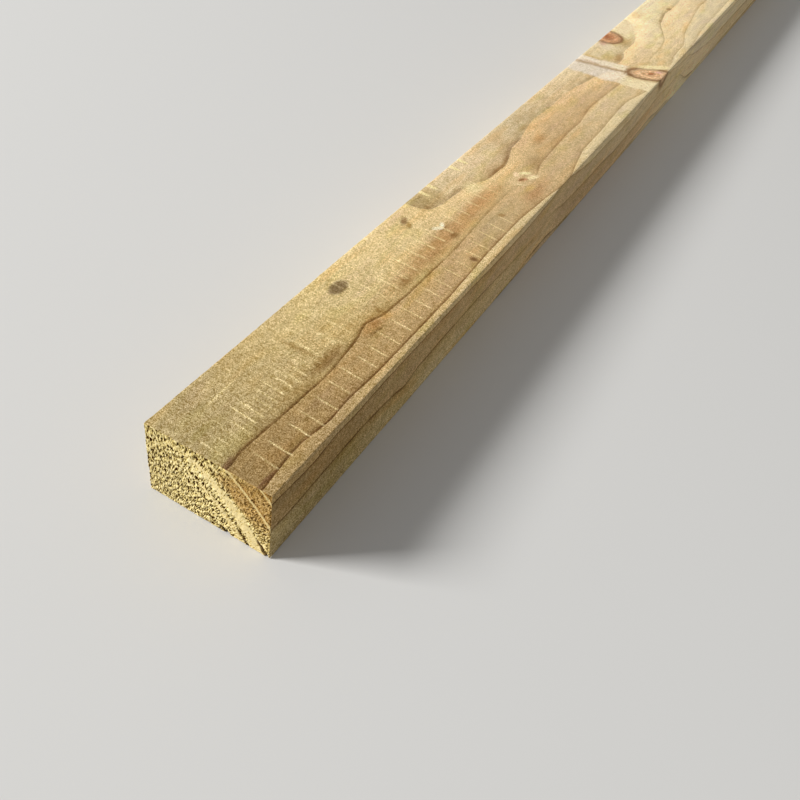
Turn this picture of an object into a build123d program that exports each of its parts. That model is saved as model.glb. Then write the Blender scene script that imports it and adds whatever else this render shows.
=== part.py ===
from build123d import *

import os
from dataclasses import dataclass
from math import asin, cos, hypot, sin

# A batten of sawn softwood: one piece of stock that lies on its wide underside.
# X runs along the grain from the near end to the far end, Y across the wide faces, Z up.
# The origin is the middle of the underside. Sizes are in millimetres.

# The sawn stock
LENGTH = 2400.0
WIDTH = 38.0
THICKNESS = 25.0
EDGE_RADIUS = 0.4

# The heart of the tree lies outside the section: beyond the left side (+Y), below the underside.
# Every growth ring is an arc about it.
HEART_BESIDE = 4.9
HEART_BELOW = 24.4

# Check at the near end's right corner, where an outer ring meets the underside.
# The inset runs from the right side to the mouth, the rise up along the ring,
# the opening across the mouth and the depth along the grain.
CORNER_CHECK_INSET = 0.9
CORNER_CHECK_RISE = 6.2
CORNER_CHECK_OPENING = 1.1
CORNER_CHECK_DEPTH = 11.0

# Hair check on the next ring towards the heart
MIDDLE_CHECK_INSET = 6.5
MIDDLE_CHECK_RISE = 6.4
MIDDLE_CHECK_OPENING = 0.6
MIDDLE_CHECK_DEPTH = 8.0

# Short, wide tear on the ring after that
INNER_CHECK_INSET = 13.1
INNER_CHECK_RISE = 3.2
INNER_CHECK_OPENING = 1.3
INNER_CHECK_DEPTH = 4.0

# How far a cutting shape runs past the face that it opens
OVERRUN = 0.5


@dataclass(frozen=True)
class RingCheck:
    """A crack at the near end that follows one growth ring up from the underside."""

    inset: float
    rise: float
    opening: float
    depth: float

    @property
    def ring_radius(self):
        """Radius of the ring that passes through the check's mouth."""
        return hypot(HEART_BESIDE + WIDTH - self.inset, HEART_BELOW)

    def wall_point(self, run, side):
        """A point of one wall, in the section plane.

        The run is measured down along the ring from the closed tip. The side is -1 for the
        wall nearer the heart, +1 for the outer wall and 0 for the ring between them. The walls
        part quickly below the tip and run almost parallel at the mouth, as split wood does.
        """
        mouth_angle = asin(HEART_BELOW / self.ring_radius)
        angle = mouth_angle + (self.rise - run) / self.ring_radius
        share = min(run / self.rise, 1)
        radius = self.ring_radius + side * self.opening / 2 * share * (2 - share)
        across = WIDTH / 2 + HEART_BESIDE - radius * cos(angle)
        return across, radius * sin(angle) - HEART_BELOW

    def outline(self, plane):
        """Face of the crack on the end of the batten: two walls that meet at the tip."""
        end_of_run = self.rise + OVERRUN
        tip = self.wall_point(0, 0)
        inner = [self.wall_point(end_of_run * share, -1) for share in (0.5, 1.0)]
        outer = [self.wall_point(end_of_run * share, 1) for share in (0.5, 1.0)]
        walls = [
            ThreePointArc(tip, *inner),
            Line(inner[-1], outer[-1]),
            ThreePointArc(outer[-1], outer[0], tip),
        ]
        return plane * make_face(walls)

    def void(self):
        """Solid of air that the check leaves: it narrows along the grain to a point."""
        near_end = Plane(origin=(-LENGTH / 2, 0, 0), x_dir=(0, 1, 0), z_dir=(1, 0, 0))
        mouth = self.outline(near_end)
        taper = (self.rise + OVERRUN) / self.rise
        across, height = self.wall_point(self.rise + OVERRUN, 0)
        point = Vertex(-LENGTH / 2 + self.depth * taper, across, height)
        return loft([mouth.face(), point]) + extrude(mouth, -OVERRUN)


CHECKS = (
    RingCheck(CORNER_CHECK_INSET, CORNER_CHECK_RISE, CORNER_CHECK_OPENING, CORNER_CHECK_DEPTH),
    RingCheck(MIDDLE_CHECK_INSET, MIDDLE_CHECK_RISE, MIDDLE_CHECK_OPENING, MIDDLE_CHECK_DEPTH),
    RingCheck(INNER_CHECK_INSET, INNER_CHECK_RISE, INNER_CHECK_OPENING, INNER_CHECK_DEPTH),
)


def sawn_stock():
    """The full length with the slightly worn edges that a saw leaves on every side."""
    stock = Box(LENGTH, WIDTH, THICKNESS, align=(Align.CENTER, Align.CENTER, Align.MIN))
    return fillet(stock.edges(), EDGE_RADIUS)


def batten():
    """The stock with its ring checks."""
    timber = sawn_stock()
    for check in CHECKS:
        timber -= check.void()
    return timber


os.makedirs("parts", exist_ok=True)
export_step(batten(), "parts/batten.step")
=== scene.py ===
"""Looks of the sawn batten: its grain, knots, saw marks and cut ends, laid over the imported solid.

Lengths inside the classes are millimetres, measured along from the near end, across from the left
arris and down from the top face. Blender's objects are in metres, in the row's frame.
"""
import logging
import math
from dataclasses import dataclass, field
from enum import Enum
from functools import reduce
from itertools import product
from typing import ClassVar, Sequence

import bpy
import numpy as np
from mathutils import Matrix, Vector


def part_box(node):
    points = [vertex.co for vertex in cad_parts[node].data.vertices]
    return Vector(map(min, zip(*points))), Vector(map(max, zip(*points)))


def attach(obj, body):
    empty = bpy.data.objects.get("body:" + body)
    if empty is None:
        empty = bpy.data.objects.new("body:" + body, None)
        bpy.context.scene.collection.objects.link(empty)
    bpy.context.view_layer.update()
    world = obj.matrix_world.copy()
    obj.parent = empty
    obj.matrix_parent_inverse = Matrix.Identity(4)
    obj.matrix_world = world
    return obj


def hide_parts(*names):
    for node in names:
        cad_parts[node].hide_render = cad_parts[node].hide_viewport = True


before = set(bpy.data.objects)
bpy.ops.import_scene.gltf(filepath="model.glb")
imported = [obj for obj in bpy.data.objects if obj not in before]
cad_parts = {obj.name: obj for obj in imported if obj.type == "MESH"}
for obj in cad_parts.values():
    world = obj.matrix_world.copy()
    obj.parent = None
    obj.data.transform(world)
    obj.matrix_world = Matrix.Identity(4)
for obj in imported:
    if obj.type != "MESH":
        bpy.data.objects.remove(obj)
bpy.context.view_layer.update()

LOG = logging.getLogger("batten")
NODE = "batten"
MM = 0.001

Array = np.ndarray
Socket = bpy.types.NodeSocket
Number = Socket | float
Points = tuple[tuple[float, float], ...]
Colour = tuple[float, float, float, float]
Tone = tuple[int, int, int]


def rise(value: Array, low: float, high: float) -> Array:
    """Smooth step from 0 at low to 1 at high."""
    share = np.clip((value - low) / (high - low), 0.0, 1.0)
    return share * share * (3.0 - 2.0 * share)


def linear(red: int, green: int, blue: int) -> Colour:
    """Turns a screen colour into the linear values that a shader takes.

    Args:
        red: its red, from 0 to 255.
        green: its green.
        blue: its blue.

    Returns:
        The linear colour, which covers fully.
    """
    shares = (red / 255.0, green / 255.0, blue / 255.0)
    light = (share / 12.92 if share <= 0.04045 else ((share + 0.055) / 1.055) ** 2.4 for share in shares)
    return (*light, 1.0)


@dataclass(frozen=True)
class LatticeNoise:
    """Smooth noise from -1 to 1 that is the same on every run."""

    seed: int

    def __call__(self, *measures: Array) -> Array:
        """Value at each point.

        Args:
            measures: up to three coordinates, in lattice cells.

        Returns:
            One value a point.
        """
        place = np.zeros((len(measures[0]), 3))
        for axis, measure in enumerate(measures):
            place[:, axis] = measure
        cell = np.floor(place).astype(np.int64)
        part = place - cell
        part = part * part * (3.0 - 2.0 * part)
        total = np.zeros(len(place))
        for corner in product((0, 1), repeat=3):
            at = cell + corner
            code = at[:, 0] * 73856093 ^ at[:, 1] * 19349663 ^ at[:, 2] * 83492791
            code = (code ^ self.seed * 40503) & 0xFFFFFFFF
            code = ((code ^ code >> 15) * 0x2C1B3C6D) & 0xFFFFFFFF
            code = ((code ^ code >> 12) * 0x297A2D39) & 0xFFFFFFFF
            value = (code ^ code >> 15) / 2.0**31 - 1.0
            total += value * np.prod(np.where(corner, part, 1.0 - part), axis=1)
        return total


@dataclass(frozen=True)
class Stock:
    """Size of the sawn piece, and the way from its own measures to the row's frame."""

    low: Vector
    high: Vector
    edge_radius: float = 0.4

    @property
    def length(self) -> float:
        """Length along the grain."""
        return (self.high.x - self.low.x) / MM

    @property
    def width(self) -> float:
        """Width of the top face."""
        return (self.high.y - self.low.y) / MM

    @property
    def thickness(self) -> float:
        """Height of the batten as it lies."""
        return (self.high.z - self.low.z) / MM

    def to_row(self, place: Array) -> Array:
        """Points in metres in the row's frame from (along, across, down) points."""
        start = np.array((self.low.x, self.high.y, self.high.z))
        return start + place * np.array((MM, -MM, -MM))

    def round_edges(self, place: Array) -> tuple[Array, Array]:
        """Moves points of the sharp block on to the block with eased edges.

        Args:
            place: (along, across, down) points on the sharp block's faces.

        Returns:
            The moved points and the unit directions that point out of the wood there.
        """
        size = np.array((self.length, self.width, self.thickness))
        inner = np.clip(place, self.edge_radius, size - self.edge_radius)
        out = place - inner
        out /= np.linalg.norm(out, axis=1)[:, None]
        return inner + self.edge_radius * out, out


@dataclass(frozen=True)
class Heart:
    """The tree's heart, which lies beyond the left side and below the underside.

    Attributes:
        stock: the batten's size.
        beside: its distance from the left side.
        below: its distance from the underside.
        middling_ring: a usual ring's radius, which turns an angle into a length round the heart.
        bends: (angle from level, distance) pairs that say how far a ring lies outside its circle.
    """

    stock: Stock
    beside: float = 4.9
    below: float = 24.4
    middling_ring: float = 45.0
    bends: Points = (
        (31.0, -2.2), (36.0, -2.0), (41.0, -1.2), (50.0, -0.7), (59.0, 0.0), (65.0, 0.0), (75.0, -0.6),
        (84.0, -1.3),
    )

    def height(self, down: Array) -> Array:
        """Height of each point above the heart."""
        return self.stock.thickness + self.below - down

    def angle(self, across: Array, down: Array) -> Array:
        """Angle of each point round the heart, from level towards the right."""
        return np.arctan2(self.height(down), across + self.beside)

    def distance(self, across: Array, down: Array) -> Array:
        """Plain distance of each point from the heart, in the section."""
        return np.hypot(across + self.beside, self.height(down))

    def radius(self, across: Array, down: Array) -> Array:
        """Radius of the ring through each point, where a ring is not quite round."""
        bend = np.interp(np.degrees(self.angle(across, down)), *zip(*self.bends))
        return self.distance(across, down) - bend

    def radius_on_top(self, across: float) -> float:
        """Ring radius of a line that runs along the top face at this place across it."""
        return float(self.radius(np.array(across), np.array(0.0)))


@dataclass(frozen=True)
class GrainLine:
    """The dark edge of one year's growth.

    Attributes:
        course: (along, across) places that the line passes on the top face.
        hidden: (along, radius) places where the ring stays inside the wood.
        firmness: (along, strength) pairs that say how dark the line is.
        late: width of the hard late wood before the edge, as the cut end shows it.
    """

    course: Points = ()
    hidden: Points = ()
    firmness: Points = ((0.0, 1.0),)
    late: float = 1.2


@dataclass(frozen=True)
class Knot:
    """A branch that runs out from the heart and is cut by the batten's faces.

    Attributes:
        along: middle of its section in the plane of the top face.
        across: the same, across that face. It may lie beyond the right arris.
        half_long: half its longer width there.
        half_short: half its shorter width there.
        turn: angle of the longer width from the grain, in degrees, towards the right arris.
        lean: how far the branch moves along the grain for each millimetre down.
        depth_of_red: how red the wood is, from 0 to 1.
    """

    along: float
    across: float
    half_long: float
    half_short: float
    turn: float = 0.0
    lean: float = 0.0
    depth_of_red: float = 0.5

    def inside(self, heart: Heart, place: Array) -> Array:
        """Measures how far inside the knot's rim points lie.

        Args:
            heart: where the branch comes from.
            place: (along, across, down) points.

        Returns:
            The distance, negative outside the rim.
        """
        along, across, down = place.T
        to_heart = heart.height(0.0)
        shrink = (to_heart - down) / to_heart
        ahead = along + self.lean * down - self.along
        aside = across + (self.across + heart.beside) / to_heart * down - self.across
        turn = math.radians(self.turn)
        longer = (ahead * math.cos(turn) + aside * math.sin(turn)) / self.half_long
        shorter = (aside * math.cos(turn) - ahead * math.sin(turn)) / self.half_short
        return (1.0 - np.hypot(longer, shorter) / shrink) * self.half_short * shrink


@dataclass(frozen=True)
class RingCheck:
    """A crack at the near end that follows one ring up from the underside.

    Attributes:
        inset: from the right side to the crack's mouth, along the underside.
        reach: length of the crack up its ring.
        opening: width of its mouth.
        depth: how far it goes into the wood at the mouth.
        wave: how far it strays from the ring.
        wave_rate: how quickly it strays, in radians a millimetre.
        slope: share of the opening over which its walls slope down.
    """

    inset: float
    reach: float
    opening: float
    depth: float
    wave: float = 0.12
    wave_rate: float = 2.4
    slope: float = 0.35

    def ring(self, heart: Heart) -> float:
        """Radius of the ring that the crack follows."""
        return math.hypot(heart.beside + heart.stock.width - self.inset, heart.below)

    def mouth(self, heart: Heart) -> float:
        """Angle of the crack's mouth round the heart, from level."""
        return math.asin(heart.below / self.ring(heart))

    def hollow(self, heart: Heart, across: Array, down: Array) -> Array:
        """Works out how deep the crack's floor lies behind the end.

        Args:
            heart: where the rings are centred.
            across: the points' places across the end.
            down: their places down it.

        Returns:
            The depth at each point, or 0 beside the crack.
        """
        ring, mouth = self.ring(heart), self.mouth(heart)
        run = self.reach - (heart.angle(across, down) - mouth) * ring
        wander = self.wave * np.sin(run * self.wave_rate + self.inset)
        share = np.clip(run / self.reach, 0.0, 1.0)
        half = self.opening / 2.0 * share * (2.0 - share)
        aside = np.abs(heart.distance(across, down) - ring - wander)
        return self.depth * share * np.clip((half - aside) / (self.slope * self.opening), 0.0, 1.0)


@dataclass
class GrowthRings:
    """Every year's ring over the whole length, with the bends that the knots give them.

    Attributes:
        heart: where the rings are centred.
        lines: each year's edge, by its number.
        seen_to: where the photograph's edge cuts the batten off.
        fade: how far beyond it the rings take to run their own way.
        station: distance between the places where the radii are worked out.
        softness: how far a bend's corner is smoothed, in millimetres.
        reach: how many stations the smoothing takes in on each side.
        least_width: the narrowest that a year may be.
        half_line: half the width of a drawn line, whose middle the courses give.
        sway: how far all the unseen rings sway together.
        own_sway: how far each sways by itself.
    """

    heart: Heart
    lines: dict[int, GrainLine]
    seen_to: float = 430.0
    fade: float = 90.0
    station: float = 1.0
    softness: float = 1.1
    reach: int = 8
    least_width: float = 2.2
    half_line: float = 0.34
    sway: float = 1.7
    own_sway: float = 0.5

    def __post_init__(self) -> None:
        """Works out each ring's radius at every station."""
        self.stations = np.arange(-20.0, self.heart.stock.length + 20.0, self.station)
        self.numbers = sorted(self.lines)
        radii = [self.course_of(number) for number in self.numbers]
        for outer in range(1, len(radii)):
            radii[outer] = np.maximum(radii[outer], radii[outer - 1] + self.least_width)
        self.radii = np.array(radii)

    def course_of(self, number: int) -> Array:
        """Works out one ring's radius at every station.

        Args:
            number: the ring's number.

        Returns:
            The radii.
        """
        line = self.lines[number]
        known = [(a, self.heart.radius_on_top(c) + self.half_line) for a, c in line.course]
        radius = np.interp(self.stations, *zip(*sorted(known + list(line.hidden))))
        unseen = rise(self.stations, self.seen_to, self.seen_to + self.fade)
        sway = self.sway * LatticeNoise(31)(self.stations / 150.0)
        own = self.own_sway * LatticeNoise(50 + number)(self.stations / 62.0)
        offsets = np.arange(-self.reach, self.reach + 1)
        kernel = np.exp(-0.5 * (offsets * self.station / self.softness) ** 2)
        edge = np.pad(radius, self.reach, mode="edge")
        soft = np.convolve(edge, kernel / kernel.sum(), mode="valid")
        return soft + unseen * (sway + own)

    def measure(self, place: Array) -> tuple[Array, Array, Array, Array]:
        """Finds where points lie among the rings.

        Args:
            place: (along, across, down) points.

        Returns:
            The ring number, which passes a whole number at each dark edge, the width of the
            ring there, how dark the nearest edge is, and how hard the wood is: 1 in late wood.
        """
        along, across, down = place.T
        radius = self.heart.radius(across, down)
        at = np.array([np.interp(along, self.stations, row) for row in self.radii])
        number = np.full(len(place), float(self.numbers[0]))
        width = np.full(len(place), 5.0)
        for inner, outer in zip(at[:-1], at[1:]):
            number += np.clip((radius - inner) / (outer - inner), 0.0, 1.0)
            width = np.where((radius >= inner) & (radius < outer), outer - inner, width)
        firmness = np.ones(len(place))
        late = np.zeros(len(place))
        before = (np.ceil(number) - number) * width
        for each in self.numbers:
            near = np.abs(number - each) <= 0.5
            strength = np.interp(along, *zip(*self.lines[each].firmness))
            firmness = np.where(near, strength, firmness)
            reach = self.lines[each].late * (0.4 + 0.6 * rise(across, 12.0, 31.0))
            band = 1.0 - rise(before, 0.6 * reach, 1.15 * reach)
            late = np.where(np.ceil(number) == each, band, late)
        return number, width, firmness, late


RINGS = {
    -5: GrainLine(hidden=((0, 23.6),)),
    -4: GrainLine(
        hidden=((0, 29.8), (80, 29.2), (210, 30.6), (300, 29.4), (420, 28.2), (600, 29.6), (900, 29.0)),
        firmness=((0, 0.6), (120, 0.4), (230, 0.6), (500, 0.5)),
    ),
    -3: GrainLine(
        hidden=((0, 33.9), (70, 34.5), (140, 34.1), (250, 35.8), (340, 34.0), (420, 33.0), (900, 33.5)),
        firmness=((0, 0.7), (90, 0.5), (200, 0.7), (300, 0.4), (500, 0.6)),
    ),
    -2: GrainLine(
        hidden=((0, 40.3), (60, 39.9), (150, 40.9), (250, 41.1), (330, 39.2), (420, 38.2), (900, 39.0)),
        firmness=((0, 0.75), (70, 0.6), (160, 0.75), (280, 0.5), (500, 0.6)),
    ),
    -1: GrainLine(hidden=((0, 44.6), (250, 46.6), (420, 42.6), (900, 44.5)), late=2.6),
    0: GrainLine(
        hidden=((0, 50.2), (110, 50.3), (125.6, 50.5), (345, 51.4), (385, 47.8), (900, 49.7)),
        course=(
            (126.9, 5.2), (129.6, 7.2), (134, 8.5), (144, 9.3), (151, 10.1), (155, 11.7), (159, 14.0),
            (174, 14.8), (179, 13.4), (187, 10.5), (194, 10.4), (207, 7.7), (216, 6.8),
            (230, 8.2), (245, 7.8), (256, 9.1), (264, 11.0), (273, 12.4), (281, 14.2),
            (297, 15.8), (303, 15.6), (310, 12.7), (325, 13.4),
        ),
        firmness=(
            (0, 0.3), (120, 0.3), (130, 0.5), (147, 0.5), (154, 0.45), (165, 0.85), (176, 0.85),
            (183, 0.5), (191, 0.75), (200, 0.4), (212, 0.25), (230, 0.35), (245, 0.25), (258, 0.3),
            (262, 0.75), (270, 0.5), (285, 0.3), (325, 0.3), (340, 0.0), (500, 0.5),
        ),
        late=4.2,
    ),
    1: GrainLine(
        late=0.9,
        course=(
            (0, 24.5), (7, 23.5), (21, 24.4), (41, 25.3), (53, 24.3), (59, 23.6), (62, 22.6),
            (65, 22.0), (68, 23.1), (71, 24.2), (85, 25.1), (114, 25.5), (133, 24.4),
            (157, 23.8), (163, 25.0), (174, 27.6), (183, 24.9), (202, 24.1), (216, 23.6),
            (226, 24.1), (242, 22.3), (258, 23.1), (271, 23.9), (284, 25.0), (306, 27.4),
            (315, 25.9), (329, 26.1), (340, 24.7), (352, 19.2), (359, 15.7), (375, 12.7),
            (384, 13.5),
        ),
        hidden=((430, 53.0), (900, 56.0), (1700, 58.0)),
        firmness=(
            (0, 1.05), (60, 1.0), (96, 0.95), (112, 0.75), (150, 0.65), (160, 0.25), (172, 0.1),
            (179, 0.65), (206, 0.6), (240, 0.5), (270, 0.45), (300, 0.25), (335, 0.35), (350, 0.6),
            (366, 0.85), (384, 0.6), (400, 0.3), (500, 0.8),
        ),
    ),
    2: GrainLine(
        late=0.9,
        course=(
            (0, 34.6), (13, 33.4), (18, 33.4), (28, 34.9), (36, 34.4), (51, 35.2), (71, 35.3),
            (94, 35.3), (120, 34.4), (144, 34.5), (157, 35.6), (166, 36.3), (179, 38.2),
            (184, 37.6), (193, 35.7), (206, 33.5), (226, 33.4), (245, 32.7), (258, 32.6),
            (265, 33.7), (274, 35.7), (296, 37.5), (317, 35.7), (325, 34.0), (344, 33.8),
            (356, 30.3), (367, 28.4), (378, 27.3), (390, 25.8), (404, 24.5), (414, 25.0),
        ),
        hidden=((470, 58.5), (900, 61.5), (1700, 63.5)),
        firmness=(
            (0, 1.05), (50, 1.0), (70, 0.9), (115, 0.85), (150, 0.7), (200, 0.5), (270, 0.45), (300, 0.3),
            (320, 0.3), (350, 0.5), (400, 0.45), (500, 0.8),
        ),
    ),
    3: GrainLine(
        course=((371, 35.2), (384, 34.9), (397, 35.1)),
        hidden=((0, 68.5), (280, 69.5), (345, 66.0), (470, 64.0), (900, 67.0)),
        firmness=((0, 1.0), (300, 0.5), (397, 0.3), (500, 0.8)),
    ),
    4: GrainLine(hidden=((0, 74.5), (420, 69.5), (900, 72.5))),
    5: GrainLine(hidden=((0, 80.0),)),
}

KNOTS = (
    Knot(295.9, 32.6, 12.8, 6.4, turn=50.4, lean=0.3, depth_of_red=0.2),
    Knot(320.9, 1.4, 8.4, 8.0, lean=-0.2, depth_of_red=0.75),
    Knot(684.0, 12.0, 8.6, 6.0, turn=12.0, lean=0.3, depth_of_red=0.5),
    Knot(668.0, 58.0, 9.5, 7.0, turn=20.0, lean=0.4, depth_of_red=0.4),
    Knot(905.0, 30.5, 2.0, 1.3, depth_of_red=0.8),
    Knot(1046.0, 27.0, 7.4, 5.2, turn=-15.0, lean=-0.2, depth_of_red=0.6),
    Knot(1071.0, -2.5, 8.4, 6.6, lean=0.3, depth_of_red=0.55),
    Knot(1432.0, 44.0, 10.0, 6.4, turn=25.0, lean=0.4, depth_of_red=0.5),
    Knot(1447.0, 6.0, 6.2, 4.6, turn=-8.0, lean=0.2, depth_of_red=0.65),
    Knot(1660.0, 20.5, 1.8, 1.1, depth_of_red=0.85),
    Knot(1813.0, 22.0, 7.8, 5.6, turn=18.0, lean=-0.3, depth_of_red=0.45),
    Knot(2140.0, 70.0, 11.0, 8.0, turn=10.0, lean=0.3, depth_of_red=0.5),
    Knot(2162.0, 3.0, 7.0, 5.4, turn=-12.0, lean=0.25, depth_of_red=0.6),
)

CHECKS = (
    RingCheck(inset=0.9, reach=6.2, opening=1.1, depth=11.0),
    RingCheck(inset=6.5, reach=6.4, opening=0.6, depth=8.0),
    RingCheck(inset=13.1, reach=3.2, opening=1.3, depth=4.0),
)


class Coat(Enum):
    """The batten's two kinds of surface, by the place of their material on the mesh."""

    SAWN = 0
    END_GRAIN = 1


@dataclass
class Surface:
    """A mesh under construction: sharp places first, then faces and what they wear."""

    places: list[Array] = field(default_factory=list)
    faces: list[tuple[int, ...]] = field(default_factory=list)
    coats: list[int] = field(default_factory=list)
    count: int = 0

    def add_points(self, points: Array) -> Array:
        """Adds points.

        Args:
            points: (along, across, down) places on the sharp block.

        Returns:
            Their numbers.
        """
        numbers = np.arange(self.count, self.count + len(points))
        self.places.append(points)
        self.count += len(points)
        return numbers

    def add_faces(self, corners: Array, coat: Coat) -> None:
        """Adds faces, one row of point numbers each."""
        self.faces.extend(map(tuple, corners.tolist()))
        self.coats.extend([coat.value] * len(corners))


@dataclass(frozen=True)
class Stretch:
    """A stretch of the batten where the loops stand further apart the further along they are.

    Attributes:
        start: where it starts.
        end: where it ends.
        step: distance between its first loops.
        growth: how much more that is for each millimetre along.
        fineness: how often the cells of its loops are halved.
    """

    start: float
    end: float
    step: float
    growth: float
    fineness: int


@dataclass
class SawnBatten:
    """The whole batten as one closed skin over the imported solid.

    Attributes:
        stock: its size and frame.
        rings: the growth rings, about its heart.
        knots: every branch in it.
        checks: the cracks at the near end.
        across_cells: cells across the wide faces, before they are halved.
        down_cells: the same for the narrow ones.
        crowding: how far the cells crowd towards the low right edge.
        near_loops: places of the finest loops, beside the near end.
        stretches: how the loops stand after those.
        plain_step: distance between the loops of the plain rest.
        knot_step: the same beside a knot.
        knot_reach: how far from a knot's middle that is so.
        far_gaps: distances of the last loops from the far end.
        far_fine_gaps: the same for those whose cells are halved.
        free: length before the far end that no other loop enters.
        check_pull: how far into the wood the cracks draw the skin along.
        pit_depth: how deep the torn grain of the ends is.
        wave: height of the saw's slow waves, and so on for the finer relief of the sawn faces.
        ruck: height of the fibre's small bumps.
        ruck_fade: where along the batten they and the strokes of the teeth fade out.
        fuzz: height of the still finer fibre near the end.
        fuzz_fade: where that fades out.
        teeth: height of the strokes of the saw's teeth.
        tooth_pitch: distance from one stroke to the next.
        tooth_lean: how far a stroke runs back for each millimetre across.
        knot_sink: how much lower the knots lie.
        dish: how far the cut ends dip.
        grit: how rough they are.
        piece: its object, once it is built.
    """

    stock: Stock
    rings: GrowthRings
    knots: tuple[Knot, ...]
    checks: tuple[RingCheck, ...]
    across_cells: int = 36
    down_cells: int = 24
    crowding: float = 0.2
    near_loops: tuple[float, ...] = (0.12, 0.27, 0.45, 0.75, 1.2, 2.0, 3.0)
    stretches: tuple[Stretch, ...] = (
        Stretch(0.0, 62.0, 0.62, 0.002, 1),
        Stretch(62.0, 250.0, 0.98, 0.0012, 0),
        Stretch(250.0, 560.0, 1.9, 0.0012, 0),
    )
    plain_step: float = 11.0
    knot_step: float = 3.2
    knot_reach: float = 24.0
    far_gaps: tuple[float, ...] = (6.0, 4.5, 3.2, 2.2)
    far_fine_gaps: tuple[float, ...] = (1.5, 0.9, 0.45, 0.2)
    free: float = 9.0
    check_pull: float = 26.0
    pit_depth: float = 0.34
    wave: float = 0.05
    ruck: float = 0.035
    ruck_fade: tuple[float, float] = (150.0, 560.0)
    fuzz: float = 0.045
    fuzz_fade: tuple[float, float] = (45.0, 75.0)
    teeth: float = 0.05
    tooth_pitch: float = 3.2
    tooth_lean: float = 0.07
    knot_sink: float = 0.05
    dish: float = 0.03
    grit: float = 0.05
    piece: bpy.types.Object | None = None

    def cells(self, size: float, count: int, halvings: int) -> Array:
        """Edges of the cells across one side, with a narrow cell at each eased edge.

        The cells crowd towards the low right edge, where the cracks are.

        Args:
            size: the side's width.
            count: its number of cells before they are halved.
            halvings: how often each cell is divided in two, or joined to its neighbour if
                this is below 0.

        Returns:
            The places of the edges, from 0 to the size.
        """
        ease = self.stock.edge_radius
        even = np.linspace(0.0, 1.0, count - 1)
        crowded = even + self.crowding * even * (1.0 - even)
        edges = np.concatenate(([0.0], ease + (size - 2.0 * ease) * crowded, [size]))
        for _ in range(halvings):
            middles = (edges[1:] + edges[:-1]) / 2.0
            edges = np.sort(np.concatenate((edges, middles)))
        return edges if halvings >= 0 else edges[:: 2 ** -halvings]

    def loop(self, along: float, halvings: int) -> Array:
        """Lays points round the section: over the top, down the right side and back underneath.

        Args:
            along: place of the section.
            halvings: how fine the loop is.

        Returns:
            The points.
        """
        across = self.cells(self.stock.width, self.across_cells, halvings)
        down = self.cells(self.stock.thickness, self.down_cells, halvings)
        top = np.stack((across[:-1], np.zeros(len(across) - 1)), 1)
        right = np.stack((np.full(len(down) - 1, self.stock.width), down[:-1]), 1)
        under = np.stack((across[:0:-1], np.full(len(across) - 1, self.stock.thickness)), 1)
        left = np.stack((np.zeros(len(down) - 1), down[:0:-1]), 1)
        section = np.concatenate((top, right, under, left))
        return np.column_stack((np.full(len(section), along), section))

    def step_after(self, along: float) -> tuple[float, int]:
        """Picks the next loop.

        Args:
            along: place of this one.

        Returns:
            The distance between the two, and how fine the next one is.
        """
        for stretch in self.stretches:
            if along < stretch.end:
                return stretch.step + stretch.growth * (along - stretch.start), stretch.fineness
        beside_knot = any(abs(along - knot.along) < self.knot_reach for knot in self.knots)
        return self.knot_step if beside_knot else self.plain_step, -1

    def stations(self) -> list[tuple[float, int]]:
        """Spaces the loops along the batten.

        Returns:
            Their places, each with how fine its loop is.
        """
        found = [(along, 2) for along in self.near_loops]
        last, along = self.stock.length, self.near_loops[-1]
        while along < last:
            step, fineness = self.step_after(along)
            along += step
            if along < last - self.free:
                found.append((along, fineness))
        found += [(last - gap, 0) for gap in self.far_gaps]
        return found + [(last - gap, 1) for gap in self.far_fine_gaps]

    def cap(self, skin: Surface, along: float, halvings: int, loop: Array) -> None:
        """Closes one end with a grid whose rim is the loop that is there already.

        Args:
            skin: the mesh under construction.
            along: place of the end.
            halvings: how fine its grid is.
            loop: the numbers of the rim's points.
        """
        across = self.cells(self.stock.width, self.across_cells, halvings)
        down = self.cells(self.stock.thickness, self.down_cells, halvings)
        wide, high = len(across) - 1, len(down) - 1
        grid = np.full((wide + 1, high + 1), -1)
        grid[:-1, 0] = loop[:wide]
        grid[-1, :-1] = loop[wide : wide + high]
        grid[:0:-1, -1] = loop[wide + high : 2 * wide + high]
        grid[0, :0:-1] = loop[2 * wide + high :]
        inside = np.array(list(product(across[1:-1], down[1:-1])))
        points = np.column_stack((np.full(len(inside), along), inside))
        grid[1:-1, 1:-1] = skin.add_points(points).reshape(wide - 1, high - 1)
        corners = np.stack((grid[:-1, :-1], grid[:-1, 1:], grid[1:, 1:], grid[1:, :-1]), -1)
        corners = corners.reshape(-1, 4)
        skin.add_faces(corners if along == 0.0 else corners[:, ::-1], Coat.END_GRAIN)

    def band(self, skin: Surface, near: Array, far: Array) -> None:
        """Joins two neighbouring loops, of which one may have twice the other's points.

        Args:
            skin: the mesh under construction.
            near: the numbers of one loop's points.
            far: the numbers of the next loop's.
        """
        near_next, far_next = np.roll(near, -1), np.roll(far, -1)
        if len(near) == len(far):
            skin.add_faces(np.stack((near, near_next, far_next, far), -1), Coat.SAWN)
            return
        flip = len(near) < len(far)
        fine, coarse = (far, near) if flip else (near, far)
        fine_next, coarse_next = np.roll(fine, -1), np.roll(coarse, -1)
        even, odd, after = fine[::2], fine[1::2], fine_next[1::2]
        for corners in ((even, odd, coarse), (odd, coarse_next, coarse), (odd, after, coarse_next)):
            stacked = np.stack(corners, -1)
            skin.add_faces(stacked[:, ::-1] if flip else stacked, Coat.SAWN)

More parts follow.
